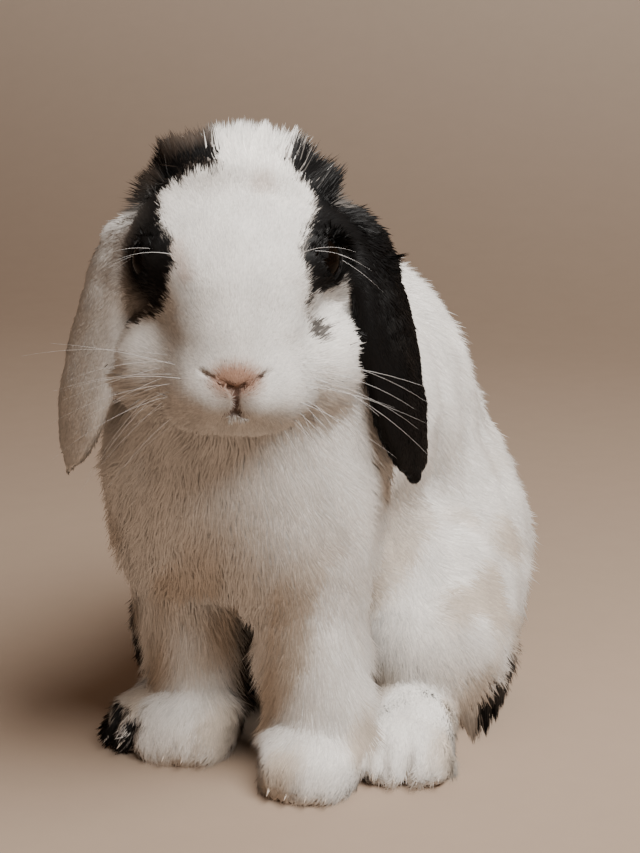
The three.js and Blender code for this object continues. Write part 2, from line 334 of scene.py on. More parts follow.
class Ear:
    """A folded, hanging ear: a shallow gutter along a curve."""

    def __init__(self, side):
        self.line = ear_midline(side)
        self.tangent = unit(np.gradient(self.line, axis=0))
        across = np.array([side * 18, 36, 0]) @ GAZE.T
        self.wide = unit(across - (self.tangent @ across)[:, None] * self.tangent)
        self.outward = np.cross(self.tangent, self.wide) * side
        share = np.linspace(0, 1, len(self.line))
        self.step = np.linalg.norm(self.line[1] - self.line[0])
        self.fullness = np.maximum(np.sin(math.pi * share**1.4), 0) ** 0.55
        self.half_width = (EAR_WIDTH / 2 - 0.8) * self.fullness
        self.half_thick = 3.3 * (1 - 0.35 * share) * np.maximum(self.fullness, 0.6)

    def local(self, p):
        """Steps along the ear's line, way past its end, place across it and height over its middle."""
        nearest = np.zeros(len(p), int)
        best = np.full(len(p), 1e9)
        for i, middle in enumerate(self.line):
            d = ((p - middle) ** 2).sum(1)
            closer = d < best
            best[closer], nearest[closer] = d[closer], i
        place = nearest.astype(float)
        for _ in range(4):
            rel = p - self.at(self.line, place)
            past = (rel * self.at(self.tangent, place)).sum(1)
            ahead = np.clip(past / self.step, -0.7, 0.7)
            place = np.clip(np.clip(place + ahead, nearest - 1.5, nearest + 1.5), 0, len(self.line) - 1)
        u = (rel * self.at(self.wide, place)).sum(1)
        w = (rel * self.at(self.outward, place)).sum(1)
        half = np.maximum(self.at(self.half_width, place), 4)
        bend = EAR_CUP * (1 - np.clip(u / half, -1.2, 1.2) ** 2) * self.at(self.fullness, place) ** 2
        return place, past, u, w - bend

    def at(self, values, place):
        """Values along the ear, read off between its steps."""
        low = np.minimum(place.astype(int), len(self.line) - 2)
        share = place - low
        share = share if values.ndim == 1 else share[:, None]
        return values[low] * (1 - share) + values[low + 1] * share

    def field(self, p):
        place, past, u, w = self.local(p)
        thick = self.at(self.half_thick, place)
        half = np.maximum(self.at(self.half_width, place), thick + 0.3)
        over = np.maximum(np.abs(u) - (half - thick), 0)
        return np.sqrt(over**2 + w**2 + past**2) - thick


EARS = {s: Ear(s) for s in (LEFT, RIGHT)}


def on_foot(side, behind, across, height):
    x, y = HINDFOOT[side]
    return np.array([across, behind, height]) @ turn(0, side * SPLAY).T + (x, y, 0)


def make_hindfoot(side):
    yaw = side * SPLAY

    def toe(across):
        return ellipsoid(on_foot(side, 14 + abs(across) / 3, across, 9), (5.5, 15, 10.5), yaw=yaw)

    return blend(
        4,
        limb(on_foot(side, 108, 0, 14), on_foot(side, 52, 0, 13), 15, 16),
        ellipsoid(on_foot(side, 38, 0, 12), (18.5, 32, 13.5), yaw=yaw),
        blend(9, *map(toe, HIND_TOES[:2])),
        blend(9, *map(toe, HIND_TOES[2:])),
    )


def make_foreleg(side):
    x, y = FOREPAW[side]
    sx, sy = SHOULDER[side]
    return blend(
        9,
        limb((sx, sy, 76), (x, y + 11, 22), 21.5, 16),
        ellipsoid((x, y + 4, 12), (17, 20, 13.5)),
        blend(7, *[ellipsoid((x + a, y - 9 + abs(a) / 4, 8), (5, 11, 9)) for a in FORE_TOES]),
    )


def make_thigh(side):
    def lobe(inset, y, z, radii, pitch=0):
        return ellipsoid((HIP_SWAY + side * (HAUNCH_WIDTH / 2 - inset), y, z), radii, pitch)

    return blend(
        14,
        lobe(36, 122, 45, (36, 54, 47), 12),
        lobe(33, 86, 34, (32, 38, 35)),
        lobe(25, 94, 20, (24, 36, 28)),
    )


def make_trunk():
    return blend(
        22,
        ellipsoid((-2, 34, 112), (CHEST_WIDTH / 2, 42, 54)),
        ellipsoid((2, 70, 132), (46, 48, 50), pitch=-20),
        ellipsoid((9, 114, 109), (55.5, 62, 66), pitch=-20),
        ellipsoid((HIP_SWAY, 146, 62), (64, 60, 64)),
        ellipsoid((HIP_SWAY, 106, 50), (50, 58, 46)),
        *both(lambda s: ellipsoid((SHOULDER[s][0], SHOULDER[s][1] + 4, 80), (24, 26, 28))),
    )


def drawn_in(field, depth):
    """The field with its surface moved in by a depth, which may itself be a function of the points."""
    return lambda p: field(p) + (depth(p) if callable(depth) else depth)


def sole(height, top):
    """Depth of the coat on a foot: next to nothing under it, full above."""
    return lambda p: top * ramp(p[:, 2], 0, height)





NECK = ellipsoid((2, 34, 150), (48, 38, 34))
TAIL = blend(8, ellipsoid((HIP_SWAY, 194, 24), (17, 16, 18)), ellipsoid((HIP_SWAY, 203, 33), (13, 11, 16)))
FORMS = {
    "trunk": drawn_in(blend(16, make_trunk(), NECK), 3.4),
    "head": bounded(make_head_forms(), HEAD_CENTRE, 62),
    "tail": bounded(drawn_in(TAIL, 6.0), (HIP_SWAY, 197, 28), 24),
}
for name, side in SIDES.items():
    FORMS["ear_" + name] = bounded(EARS[side].field, EARS[side].line[24], 62)
    FORMS["thigh_" + name] = bounded(drawn_in(make_thigh(side), 3.3), (HIP_SWAY + side * 42, 108, 42), 68)
    foreleg = drawn_in(make_foreleg(side), sole(14, 1.5))
    FORMS["foreleg_" + name] = bounded(foreleg, (*FOREPAW[side], 40), 62)
    hindfoot = drawn_in(make_hindfoot(side), sole(14, 2.6))
    FORMS["hindfoot_" + name] = bounded(hindfoot, on_foot(side, 55, 0, 14), 76)
JOIN = {"head": 7, "tail": 6, "ear": 5, "thigh": 20, "foreleg": 8, "hindfoot": 5}
FLOOR_CLEARANCE = 0.8


def skin_field(p):
    total = FORMS["trunk"](p)
    for name, form in FORMS.items():
        if name != "trunk":
            total = melt(total, form(p), JOIN[name.split("_")[0]])
    low_body = ramp(p[:, 2], 165, 140) * ramp(p[:, 1], -10, 20) * ramp(p[:, 2], 10, 30)
    total = total + 1.2 * low_body * waves(p, 30, 3)[:, 0]
    return np.maximum(total, FLOOR_CLEARANCE - p[:, 2])


# ---------------------------------------- meshing a field
def gradient(field, p, step=0.35):
    """Slope of the field, from four samples round each point."""
    corners = np.array([[1, -1, -1], [-1, -1, 1], [-1, 1, -1], [1, 1, 1]], float)
    slope = sum(c * field(p + c * step)[:, None] for c in corners)
    return slope / (4 * step)


def settle(field, p, rounds=2):
    """Points moved onto the zero surface; a step is never longer than a cell."""
    for _ in range(rounds):
        g = gradient(field, p)
        steps = -(field(p) / np.maximum((g**2).sum(1), 0.15))[:, None] * g
        size = np.linalg.norm(steps, axis=1, keepdims=True)
        p = p + steps * np.minimum(1, 1.2 / np.maximum(size, 1e-9))
    return p


def stretch(values, times):
    """A coarse grid of values, read off at times as many places along each axis."""
    for axis in range(3):
        n = values.shape[axis]
        at = np.arange((n - 1) * times + 1) / times
        low = np.minimum(at.astype(int), n - 2)
        share = (at - low).reshape([-1 if a == axis else 1 for a in range(3)])
        values = values.take(low, axis) * (1 - share) + values.take(low + 1, axis) * share
    return values


def surface_net(field, low, high, cell, times=5):
    """Triangles on the zero surface, one vertex for each small cell that it passes through."""
    coarse = cell * times
    counts = np.ceil((np.array(high) - low) / coarse).astype(int) + 1
    axes = [low[i] + coarse * np.arange(counts[i]) for i in range(3)]
    points = np.stack(np.meshgrid(*axes, indexing="ij"), -1).reshape(-1, 3)
    rough = field(points).reshape(counts)
    close = np.abs(rough) < coarse * 1.5
    value = stretch(rough, times)
    busy = np.zeros(value.shape, bool)
    busy[::times, ::times, ::times] = close
    for axis in range(3):
        grown = busy.copy()
        for offset in range(1, times + 1):
            there = [slice(None)] * 3
            here = [slice(None)] * 3
            there[axis], here[axis] = slice(offset, None), slice(None, -offset)
            grown[tuple(there)] |= busy[tuple(here)]
            grown[tuple(here)] |= busy[tuple(there)]
        busy = grown
    at = np.argwhere(busy)
    value[busy] = field(np.array(low) + at * cell)
    inside = value < 0
    corner = [(a, b, c) for a in (0, 1) for b in (0, 1) for c in (0, 1)]
    size = np.array(value.shape) - 1

    def shifted(array, c):
        return array[c[0] : c[0] + size[0], c[1] : c[1] + size[1], c[2] : c[2] + size[2]]

    full = sum(shifted(inside, c).astype(np.int8) for c in corner)
    cells = np.argwhere((full > 0) & (full < 8))
    total, hits = np.zeros((len(cells), 3)), np.zeros(len(cells))
    for a in corner:
        for axis in range(3):
            if a[axis]:
                continue
            b = tuple(1 if i == axis else a[i] for i in range(3))
            va, vb = value[tuple((cells + a).T)], value[tuple((cells + b).T)]
            cut = (va < 0) != (vb < 0)
            share = np.where(cut, va / np.where(va == vb, 1, va - vb), 0)
            spot = cells + np.array(a) + share[:, None] * (np.array(b) - a)
            total[cut] += spot[cut]
            hits[cut] += 1
    verts = np.array(low) + cell * total / hits[:, None]
    number = -np.ones(size, int)
    number[tuple(cells.T)] = np.arange(len(cells))
    quads = []
    for axis in range(3):
        u, v = np.eye(3, dtype=int)[(axis + 1) % 3], np.eye(3, dtype=int)[(axis + 2) % 3]
        a, b = inside.take(range(size[axis]), axis), inside.take(range(1, size[axis] + 1), axis)
        edges = np.argwhere(a != b)
        edges = edges[(edges[:, (axis + 1) % 3] > 0) & (edges[:, (axis + 2) % 3] > 0)]
        edges = edges[(edges < size).all(1)]
        ring = np.stack([number[tuple((edges - s).T)] for s in (u + v, v, 0 * u, u)], 1)
        flip = ~a[tuple(edges.T)]
        ring[flip] = ring[flip][:, ::-1]
        quads.append(ring)
    quads = np.concatenate(quads)
    return verts, np.concatenate([quads[:, [0, 1, 2]], quads[:, [0, 2, 3]]])


def smoothed(verts, tris, share):
    """Each vertex moved a share of the way to the mean of its neighbours."""
    a, b = np.concatenate([tris[:, [0, 1]], tris[:, [1, 2]], tris[:, [2, 0]]]).T
    near = np.bincount(a, minlength=len(verts)) + np.bincount(b, minlength=len(verts))
    mean = [
        np.bincount(a, verts[b, i], len(verts)) + np.bincount(b, verts[a, i], len(verts)) for i in range(3)
    ]
    return verts + share * (np.stack(mean, 1) / near[:, None] - verts)


def refined(verts, tris, wanted):
    """Every triangle of which a corner is wanted, cut in four; its neighbours are cut to fit."""
    mark = wanted[tris].any(1)
    edge = np.concatenate([tris[:, [0, 1]], tris[:, [1, 2]], tris[:, [2, 0]]])
    keys = np.sort(edge, 1)
    names, which = np.unique(keys, axis=0, return_inverse=True)
    which = which.reshape(3, -1).T
    split = np.zeros(len(names), bool)
    split[which[mark].ravel()] = True
    fresh = -np.ones(len(names), int)
    fresh[split] = len(verts) + np.arange(split.sum())
    verts = np.concatenate([verts, verts[names[split]].mean(1)])
    mid = fresh[which]
    halves = (mid >= 0).sum(1)
    made = [tris[halves == 0]]
    for turn_by in range(3):
        t, m = np.roll(tris, -turn_by, 1), np.roll(mid, -turn_by, 1)
        one = (halves == 1) & (m[:, 0] >= 0)
        made.append(np.stack([t[one, 0], m[one, 0], t[one, 2]], 1))
        made.append(np.stack([m[one, 0], t[one, 1], t[one, 2]], 1))
        two = (halves == 2) & (m[:, 2] < 0)
        made.append(np.stack([t[two, 1], m[two, 1], m[two, 0]], 1))
        made.append(np.stack([t[two, 0], m[two, 0], m[two, 1]], 1))
        made.append(np.stack([t[two, 0], m[two, 1], t[two, 2]], 1))
    whole = halves == 3
    t, m = tris[whole], mid[whole]
    for i in range(3):
        made.append(np.stack([t[:, i], m[:, i], m[:, i - 1]], 1))
    made.append(m)
    return verts, np.concatenate(made)


# ---------------------------------------- the lie of the coat and its markings
def waves(p, length, seed, channels=1):
    """Smooth noise of about -1 to 1: a few sine waves in every direction, near the given wavelength."""
    random = np.random.default_rng(seed)
    total = np.zeros((len(p), channels))
    for channel in range(channels):
        for _ in range(6):
            direction = unit(random.normal(size=3)) * 2 * math.pi / (length * random.uniform(0.6, 1.5))
            total[:, channel] += np.sin(p @ direction + random.uniform(0, 6.3))
    return total / 2.4


def part_shares(p):
    """How much each point belongs to each part, in the order of FORMS, adding up to 1."""
    d = np.stack([form(p) for form in FORMS.values()], 1)
    share = np.exp(-(d - d.min(1, keepdims=True)) / 2.5)
    return share / share.sum(1, keepdims=True)


def share_of(shares, *parts):
    """How much each point belongs to the parts named, taken together."""
    return sum(shares[:, list(FORMS).index(part)] for part in parts)


def lie_of(part, p):
    """The way that the hair of one part points, as far as it follows the part and not the surface."""
    side = LEFT if part.endswith("left") else RIGHT
    if part == "head":
        q = in_head(p)
        crown = crown_share(q)[:, None]
        back = q - (0, -54, -8)
        back[:, 2] -= 12 * ramp(q[:, 2], 0, -20)
        back[:, 0] += 14 * np.sign(q[:, 0]) * ramp(np.abs(q[:, 0]), 8, 24)
        up = np.stack([1.1 * q[:, 0], 0 * q[:, 1] + 6, q[:, 2] - 4], 1)
        return unit(mixed(unit(back), unit(up), crown)) @ HEAD_TILT.T
    if part.startswith("ear"):
        ear = EARS[side]
        return ear.at(ear.tangent, ear.local(p)[0])
    if part == "trunk":
        way = np.tile([0.0, 0.75, -1.0], (len(p), 1))
        way[:, 0] = 0.25 * np.clip((p[:, 0] - 6) / 40, -1, 1)
        return unit(way)
    if part.startswith("foreleg"):
        on_paw = ramp(p[:, 2], 26, 13)[:, None]
        return unit(mixed(np.array([0.0, 0.12, -1.0]), np.array([0.0, -1.0, -0.45]), on_paw))
    if part.startswith("hindfoot"):
        return np.tile(turn(0, side * SPLAY) @ [0.0, -0.95, -0.3], (len(p), 1))
    if part.startswith("thigh"):
        return np.tile(unit(np.array([side * 0.1, 0.75, -1.0])), (len(p), 1))
    return np.tile([0.0, 0.9, 0.43], (len(p), 1))


def lie(p, shares):
    total = np.zeros_like(p)
    for i, part in enumerate(FORMS):
        some = shares[:, i] > 0.02
        if some.any():
            total[some] += shares[some, i : i + 1] * lie_of(part, p[some])
    return unit(total)


# length, width, rise at the root and at the tip in degrees, tufts in a square millimetre
HABIT = {
    "head": (3.4, 0.36, 24, 7, 5.0),
    "ear": (3.2, 0.42, 20, 6, 4.6),
    "trunk": (9.5, 0.66, 21, 6, 1.24),
    "thigh": (9.5, 0.66, 21, 6, 1.24),
    "foreleg": (5.5, 0.52, 21, 6, 2.3),
    "hindfoot": (6.2, 0.56, 23, 9, 2.1),
    "tail": (11.0, 0.62, 34, 16, 2.2),
}
EAR_ROOT_END = 13
EAR_ROOT_GROWTH = (5.5, 0.2, 18, 12)
# what is added there to the length, the width and the two rises, and to the density as a share of it
GROWTH = {
    "cheeks": (4.5, 0.25, 0, 0, -0.35),
    "crown": (8.4, 0.35, 30, 24, -0.35),
    "muzzle": (-1.4, -0.1, -6, 0, 0.5),
    "chin": (3.2, 0, 13, 14, 0),
    "paws": (0, 0, 8, 6, 0),
    "shins": (6.5, 0, 17, 19, 0),
}


def habit(p, shares):
    """Length, width, the two rises and density of the tufts rooted at each point."""
    q = in_head(p)
    x, y, z = q.T
    height = p[:, 2]
    head, legs = share_of(shares, "head"), share_of(shares, "foreleg_left", "foreleg_right")
    cheek = head * ramp(np.abs(x), 13, 26) * ramp(z, 8, -6)
    throat = head * ramp(y, -26, -4) * ramp(z, -8, -22)
    places = {
        "cheeks": np.maximum(cheek * 0.8, throat),
        "crown": head * crown_share(q),
        "muzzle": head * ramp(y, -24, -38),
        "chin": head * ramp(z, -12, -18) * ramp(y, -14, -28),
        "paws": legs * ramp(height, 26, 14),
        "shins": legs * ramp(height, 14, 24) * ramp(height, 80, 46),
    }
    coat = (shares @ np.array([HABIT[part.split("_")[0]] for part in FORMS])).T
    denser = np.ones(len(p))
    for name, (*more, density) in GROWTH.items():
        coat[:4] += np.outer(more, places[name])
        denser += density * places[name]
    coat[4] *= denser
    for name, s in SIDES.items():
        ear = share_of(shares, "ear_" + name)
        some = ear > 0.02
        if some.any():
            along = EARS[s].local(p[some])[0]
            root = ear[some] * ramp(along, EAR_ROOT_END + 7, EAR_ROOT_END - 7)
            root = root * (1.0 if s == LEFT else 0.4)
            coat[0, some] *= 1 - 0.5 * ear[some] * ramp(along, 42, 46)
            coat[:4, some] += np.outer(EAR_ROOT_GROWTH, root)
            coat[4, some] *= 1 - 0.45 * root
    return coat


def near_form(q, field, soft, wobble):
    """1 inside a form, 0 outside, with a soft and ragged edge."""
    return ramp(field(q) + wobble, soft, -soft)


PATCH = {
    RIGHT: blend(
        3,
        ellipsoid((-30, -7, 14), (12.5, 15, 17)),
        limb((-32, 4, 22), (-32, 18, 27), 6.5, 7),
        ellipsoid((-34, -4, -2), (5, 8, 12)),
        ellipsoid((-37, 10, 5), (11, 12, 17)),
    ),
    LEFT: blend(
        3,
        ellipsoid((30.5, -4, 17), (12, 14, 12.5)),
        limb((32, 4, 22), (32, 18, 27), 6.5, 7),
        limb((25, -16, 12), (25.8, -17, 3), 2.0, 1.0),
        ellipsoid((38, 11, 8), (14, 13, 22)),
    ),
}
CREST_STRIP = (6.5, 13.0)
CHEEK_STREAK = limb((24.6, -17, 9), (26, -19, -3), 1.8, 1.2)
CHEEK_SPOT = blend(1, ellipsoid((27, -18.6, -3), (4.2, 4, 2.6)), CHEEK_STREAK)
EAR_EDGE = ellipsoid((-36.5, 4, 5), (5, 6, 7))
# where a painted highlight lightens the black ear, and how light it is
EAR_HIGHLIGHT = limb((51, 3, -3), (56, -5, -19), 6, 5)
HIGHLIGHT_LEVEL = 0.022
KNEE_PATCH = ellipsoid((-52, 66, 34), (16, 18, 26))
HOCK_PATCH = blend(4, ellipsoid((86, 88, 4), (21, 26, 14)), ellipsoid((88, 98, 9), (13, 28, 16)))
TOE_PATCH = ellipsoid((-54, 2, 6), (20, 22, 17))
# black belly hair, also standing for the deep shade between the legs
BELLY_BLACK_AND_SHADE = ellipsoid((4, 62, 22), (26, 34, 30))
TAIL_PATCH = ellipsoid((HIP_SWAY, 200, 42), (22, 24, 20))


def black_share(p, shares):
    """How black the coat is at each point, 0 to 1."""
    q = in_head(p)
    rag = 1.3 * waves(p, 7, 11)[:, 0] + 0.9 * waves(p, 3.2, 12)[:, 0]
    head, trunk = share_of(shares, "head"), share_of(shares, "trunk")
    black_ear, white_ear = share_of(shares, "ear_left"), share_of(shares, "ear_right")
    upper = np.maximum(head, trunk)
    middle, half = CREST_STRIP
    beside_strip = ramp(np.abs(q[:, 0] - middle) + 1.5 * rag, half - 1.5, half + 1.5)
    behind_dome = ramp(q[:, 1] + rag, 16.5, 18.5) * ramp(q[:, 1], 58, 50) * ramp(q[:, 2] + 2 * rag, -6, 0)
    black = upper * beside_strip * behind_dome
    for s, about in ((LEFT, np.minimum(upper + black_ear, 1)), (RIGHT, np.minimum(upper, 1))):
        black = np.maximum(black, about * near_form(q, PATCH[s], 1.0, 0.5 * rag))
    black = np.maximum(black, 0.93 * head * near_form(q, CHEEK_SPOT, 1.2, 0.6 * rag))
    black = np.maximum(black, ramp(black_ear, 0.05, 0.4))
    along = EARS[RIGHT].local(p)[0] / len(EARS[RIGHT].line)
    black = np.maximum(black * (1 - white_ear), white_ear * ramp(along + 0.02 * rag, 0.16, 0.09))
    black = np.maximum(black, 0.6 * white_ear * near_form(q, EAR_EDGE, 2.5, rag))
    for patch in (KNEE_PATCH, HOCK_PATCH, TOE_PATCH, BELLY_BLACK_AND_SHADE, TAIL_PATCH):
        black = np.maximum(black, near_form(p, patch, 2.5, 2.2 * rag) * (1 - head))
    return black


NOSE_V = blend(0.6, *both(lambda s: limb((s * 10.6, -42.8, -1.0), (0, -48.0, -4.4), 0.3, 0.7)))
CLEFT = limb((0, -47.6, -5), (0, -49.6, -11), 1.0, 0.9)
MOUTH = blend(1, CLEFT, limb((-2.8, -49, -12), (3, -49, -12), 1, 1))
NOSE_TOP = ellipsoid((0, -46.5, -1.5), (10, 8, 6.5))
LIPS = ellipsoid((0, -48.5, -9), (6.5, 6, 6.5))
# reddish hair along the face beside the black patch, partly painted shade
REDDISH_AND_SHADED_RIM = limb((-19.5, -9, 25), (-16, -20, 20), 2.5, 3)
ROSY_CROWN = ellipsoid((9, 14, 34), (4.5, 5, 4))
# where, how far outside it starts, how far inside it is full, how strong, which colour of the look
WASHES = (
    # pink-brown hair above the nose, made darker as painted shade
    (NOSE_TOP, 2.5, -4.5, 1.0, "blush_and_shade"),
    # painted shade round the lip pads, in the colour of the fringe
    (LIPS, 3.0, -5.0, 0.45, "fringe_and_lip_shade"),
    (REDDISH_AND_SHADED_RIM, 2.5, -3.5, 0.5, "blush_and_shade"),
    (ROSY_CROWN, 2.0, -3.0, 0.3, "blush_and_shade"),
    # painted shade in the folds of the nose, the cleft and the mouth
    (NOSE_V, 1.0, -0.4, 0.7, "crease_shade"),
    (MOUTH, 1.1, -0.5, 0.95, "crease_shade"),
)


def tints(p, shares, look):
    """Linear colour of hair seen at each point, with painted shade and a painted highlight."""
    q = in_head(p)
    head = share_of(shares, "head")
    dark = black_share(p, shares)[:, None]
    # painted shade: hair darker and warmer low on the body, in patches
    low_body = ramp(p[:, 2], 110, 60) * (1 - head)
    painted_low_shade = (0.85 * low_body * ramp(waves(p, 30, 41)[:, 0], -0.3, 0.9))[:, None]
    colour = mixed(np.array(look.white), np.array(look.painted_low_shade), painted_low_shade)
    colour = mixed(colour, np.array(look.black), dark)
    colour = mixed(colour, np.array(look.fringe_and_lip_shade), 4 * dark * (1 - dark) * look.fringe_strength)
    for form, outer, inner, strength, name in WASHES:
        wash = (strength * head * ramp(form(q), outer, inner))[:, None]
        wash = wash if name == "crease_shade" else wash * (1 - dark)
        colour = mixed(colour, np.array(getattr(look, name)), wash)
    # painted highlight on the black ear
    painted_highlight = share_of(shares, "ear_left") * ramp(EAR_HIGHLIGHT(q), 4, -4)
    painted_highlight = (painted_highlight * ramp(waves(p, 5, 43)[:, 0], -0.6, 0.9))[:, None]
    return mixed(colour, HIGHLIGHT_LEVEL, painted_highlight)


# ---------------------------------------- meshes and materials in Blender
# from the body's own millimetres to the frame, found from where the frame has the left eye
SHIFT = np.sum(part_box("eye_left"), 0) * 500 - (HEAD_CENTRE + HEAD_TILT @ EYE_PLACE)


def to_frame(p):
    return (p + SHIFT) / 1000


def to_body(p):
    return p * 1000 - SHIFT


def mesh_from(name, verts, tris):
    """A mesh object at the origin; verts are in body millimetres."""
    mesh = bpy.data.meshes.new(name)
    mesh.vertices.add(len(verts))
    mesh.vertices.foreach_set("co", to_frame(verts).ravel())
    mesh.loops.add(tris.size)
    mesh.loops.foreach_set("vertex_index", tris.ravel())
    mesh.polygons.add(len(tris))
    mesh.polygons.foreach_set("loop_start", np.arange(0, tris.size, 3))
    mesh.update(calc_edges=True)
    mesh.shade_smooth()
    piece = bpy.data.objects.new(name, mesh)
    bpy.context.scene.collection.objects.link(piece)
    return piece


def paint(piece, colours):
    """A colour for each vertex, kept as an attribute that the material reads."""
    kept = piece.data.attributes.new("tint", "FLOAT_COLOR", "POINT")
    kept.data.foreach_set("color", np.c_[colours, np.ones(len(colours))].ravel())


class Value:
    """A number in a shader: sums written with it add Math nodes."""

    def __init__(self, shader, socket):
        self.shader, self.socket = shader, socket

    def by(self, operation, a, b):
        return self.shader.number("ShaderNodeMath", {"operation": operation}, {0: a, 1: b})

    def __add__(self, other):
        return self.by("ADD", self, other)

    def __mul__(self, other):
        return self.by("MULTIPLY", self, other)

    def __rsub__(self, other):
        return self.by("SUBTRACT", other, self)


class Shader:
    """A material with one Principled BSDF."""

    def __init__(self, name, **constants):
        self.material = bpy.data.materials.new(name)
        self.material.use_nodes = True
        self.tree = self.material.node_tree
        self.surface = self.tree.nodes["Principled BSDF"]
        self.place = self.node("ShaderNodeTexCoord").outputs["Object"]
        for socket, value in constants.items():
            self.surface.inputs[socket.replace("_", " ")].default_value = value

    def node(self, kind, settings=None, values=None):
        made = self.tree.nodes.new(kind)
        for name, value in (settings or {}).items():
            setattr(made, name, value)
        for name, value in (values or {}).items():
            value = value.socket if isinstance(value, Value) else value
            if isinstance(value, bpy.types.NodeSocket):
                self.tree.links.new(value, made.inputs[name])
            else:
                made.inputs[name].default_value = value
        return made

    def number(self, kind, settings=None, values=None, output=0):
        return Value(self, self.node(kind, settings, values).outputs[output])

    def noise(self, scale, detail=3.0, roughness=0.6):
        values = {"Vector": self.place, "Scale": scale, "Detail": detail, "Roughness": roughness}
        return self.number("ShaderNodeTexNoise", None, values, "Fac")

    def spread(self, value, low, high):
        values = {"Value": value, "From Min": low, "From Max": high}
        return self.number("ShaderNodeMapRange", {"interpolation_type": "SMOOTHSTEP"}, values, "Result")

    def mix(self, share, a, b, blend_type="MIX"):
        settings = {"data_type": "RGBA", "blend_type": blend_type}
        return self.node("ShaderNodeMix", settings, {0: share, 6: a, 7: b}).outputs[2]

    def tint(self):
        return self.node("ShaderNodeAttribute", {"attribute_name": "tint"}).outputs["Color"]

    def shaded(self, colour, shade):
        """The colour times a number."""
        level = self.node("ShaderNodeCombineColor", None, {0: shade, 1: shade, 2: shade}).outputs[0]
        return self.mix(1.0, colour, level, "MULTIPLY")

    def feed(self, socket, value):
        value = value.socket if isinstance(value, Value) else value
        self.tree.links.new(value, self.surface.inputs[socket])

    def bump(self, height, distance, strength=1.0):
        values = {"Height": height, "Distance": distance, "Strength": strength}
        self.feed("Normal", self.node("ShaderNodeBump", None, values).outputs["Normal"])


def grey(level):
    return (level, level, level, 1.0)





def fur_material(name):
    """Hair: pale from the attribute, faintly streaked; dark hair is the glossier."""
    shader = Shader(name, Specular_IOR_Level=0.16)
    tint = shader.tint()
    streak = shader.noise(900, 2.0)
    shader.feed("Base Color", shader.shaded(tint, shader.spread(streak, 0.25, 0.75) * 0.16 + 0.9))
    brightness = shader.number("ShaderNodeRGBToBW", None, {"Color": tint})
    shader.feed("Roughness", shader.spread(brightness, 0.02, 0.4) * 0.35 + 0.45)
    return shader.material


def skin_material():
    """Bare and thinly haired skin under the coat, with the grain of very short fur."""
    shader = Shader("short_fur_on_skin", Specular_IOR_Level=0.12, Sheen_Weight=0.05)
    grain = shader.noise(1400, 2.0) * 0.6 + shader.noise(420, 3.0) * 0.4
    shader.feed("Base Color", shader.shaded(shader.tint(), shader.spread(grain, 0.3, 0.7) * 0.2 + 0.85))
    shader.feed("Roughness", 0.85 - grain * 0.2)
    shader.bump(grain, 0.0004, 0.6)
    return shader.material


def eye_material():
    """Dark brown, almost black, deep and wet."""
    shader = Shader("dark_eye", IOR=1.3, Specular_IOR_Level=0.15)
    fibre = shader.noise(1800, 4.0)
    brown = shader.mix(shader.spread(fibre, 0.35, 0.7), (0.002, 0.0015, 0.001, 1), (0.008, 0.004, 0.002, 1))
    shader.feed("Base Color", brown)
    shader.feed("Roughness", fibre * 0.06 + 0.04)
    return shader.material


def claw_material(low, high):
    """Pale horn, clearer and darker towards the point, with fine lengthwise streaks."""
    shader = Shader("horn", Specular_IOR_Level=0.5)
    streak = shader.noise(1500, 3.0)
    shader.feed("Base Color", shader.mix(shader.spread(streak, 0.3, 0.7), low, high))
    shader.feed("Roughness", streak * 0.2 + 0.25)
    shader.bump(streak, 0.0001, 0.5)
    return shader.material


def hair_material():
    """Whiskers: stiff, pale and a little glossy."""
    shader = Shader("whisker", Specular_IOR_Level=0.5)
    shader.feed("Base Color", shader.mix(shader.noise(300), grey(0.75), grey(0.9)))
    shader.feed("Roughness", shader.noise(200) * 0.2 + 0.3)
    return shader.material


def wear(piece, material):
    piece.data.materials.clear()
    piece.data.materials.append(material)


# ---------------------------------------- what a user may change
def a_number(name, default, low, high, description):
    return FloatProperty(name=name, description=description, default=default, min=low, max=high)


def a_power(name, default, description):
    return FloatProperty(name=name, description=description, subtype="POWER", default=default, min=0)


def a_colour(name, default, description):
    return FloatVectorProperty(name=name, description=description, subtype="COLOR", size=3, default=default)


class SkinLook(bpy.types.PropertyGroup):
    cell: a_number("Cell", 1.75, 1.0, 4.0, "Size of the skin's mesh in millimetres")


class CoatLook(bpy.types.PropertyGroup):
    density: a_number("Density", 1.0, 0.05, 1.2, "How many tufts grow, 1 for the full coat")
    length: a_number("Length", 1.0, 0.2, 1.5, "Length of the hair, 1 for the full coat")
    seed: IntProperty(name="Seed", description="Seed of every random draw in the coat", default=5, min=0)
    white: a_colour("White", (0.82, 0.79, 0.75), "White hair")
    black: a_colour("Black", (0.006, 0.0055, 0.0055), "Black hair")
    # also used as painted shade round the lips
    fringe_and_lip_shade: a_colour("Fringe", (0.24, 0.18, 0.14), "Hair where black meets white")
    fringe_strength: a_number("Fringe strength", 0.3, 0, 1, "How much of it shows")
    # pink of the nose, darkened as painted shade there and beside the eye
    blush_and_shade: a_colour("Blush and shade", (0.40, 0.24, 0.17), "Thin hair over pink skin above the nose")
    # painted shade in the folds
    crease_shade: a_colour("Crease shade", (0.12, 0.06, 0.045), "Folds of the nose and mouth")
    # painted shade low on the body, where less light falls
    painted_low_shade: a_colour("Painted low shade", (0.58, 0.49, 0.40), "Hair low on the body")


class StageLook(bpy.types.PropertyGroup):
    floor: a_colour("Floor", (0.42, 0.32, 0.245), "Colour of the floor")
    wall: a_colour("Wall", (0.86, 0.73, 0.61), "Colour of the backdrop")
    key: a_power("Key light", 16.5, "Strength of the main light")
    fill: a_power("Fill light", 0.7, "Strength of the light from the left")
    lens: a_number("Lens", 88.92, 20, 200, "Focal length of the camera in millimetres")


